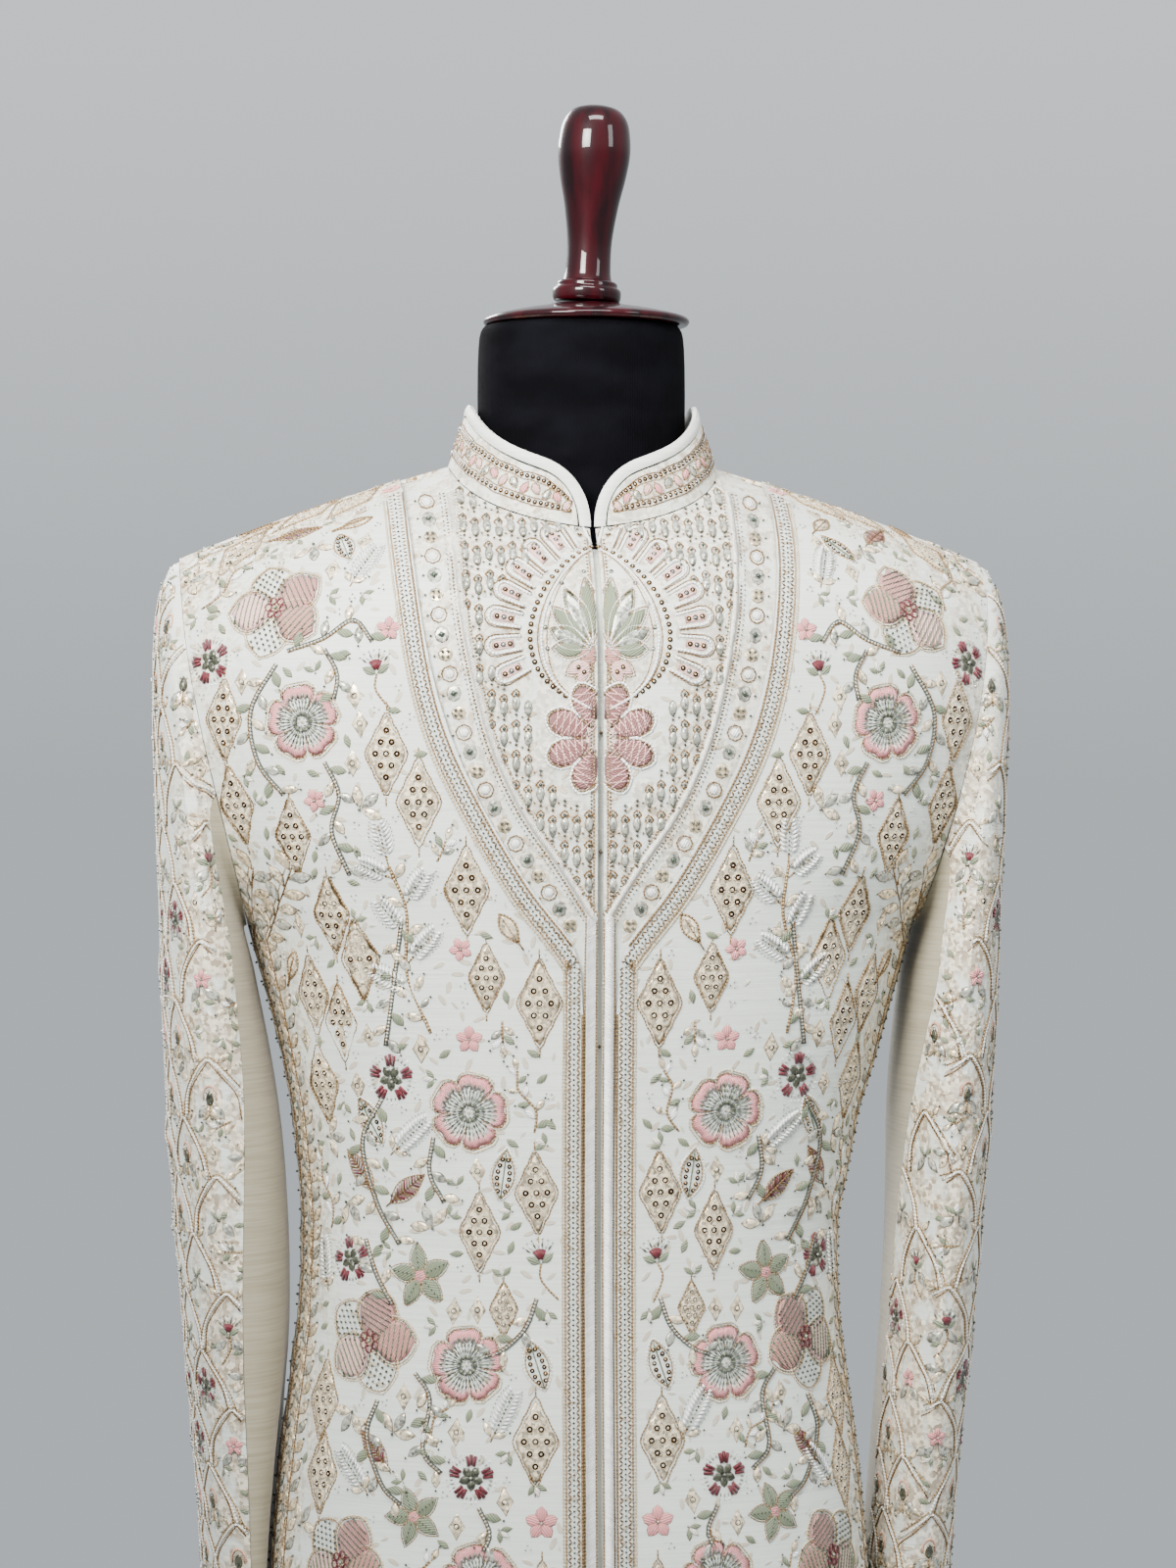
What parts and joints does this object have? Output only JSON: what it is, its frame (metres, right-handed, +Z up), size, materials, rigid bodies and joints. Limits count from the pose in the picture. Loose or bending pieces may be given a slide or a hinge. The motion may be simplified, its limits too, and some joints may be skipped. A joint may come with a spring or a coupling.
{
  "type": "sherwani coat on a limbless dress form",
  "caption": "Embroidered sherwani coat with a stand collar, bib and hook placket, worn by a limbless dress form with a turned neck cap on a round stand.",
  "frame": {"origin": "centre of the round base's underside, on the floor", "axes": "+Z up along the pole, -Y towards the coat's front opening, +X towards the wearer's left"},
  "size_m": [0.4884, 0.43, 1.6598],
  "materials": {
    "embroidered_silk": "ivory raw silk with raised embroidery",
    "bib_silk": "ivory raw silk with dense beadwork",
    "plain_silk": "plain ivory silk, low sheen",
    "binding_silk": "folded ivory silk, soft sheen",
    "lining_satin": "grey satin",
    "black_jersey": "fine ribbed black jersey, matte",
    "lacquered_wood": "turned hardwood under glossy cherry lacquer",
    "black_steel": "satin black paint"
  },
  "bodies": {
    "root": {"front_outer_right": "embroidered_silk", "front_outer_left": "embroidered_silk", "back_right": "embroidered_silk", "back_left": "embroidered_silk", "front_inner_right": "bib_silk", "front_inner_left": "bib_silk", "placket_underlap": "plain_silk", "sleeve_upper_right": "embroidered_silk", "sleeve_upper_left": "embroidered_silk", "sleeve_under_right": "plain_silk", "sleeve_under_left": "plain_silk", "collar": "bib_silk", "collar_lining": "lining_satin", "collar_binding": "binding_silk", "form_torso": "black_jersey", "neck_cap": "lacquered_wood", "finial": "lacquered_wood", "stand_pole": "black_steel", "stand_base": "black_steel"}
  },
  "joints": []
}
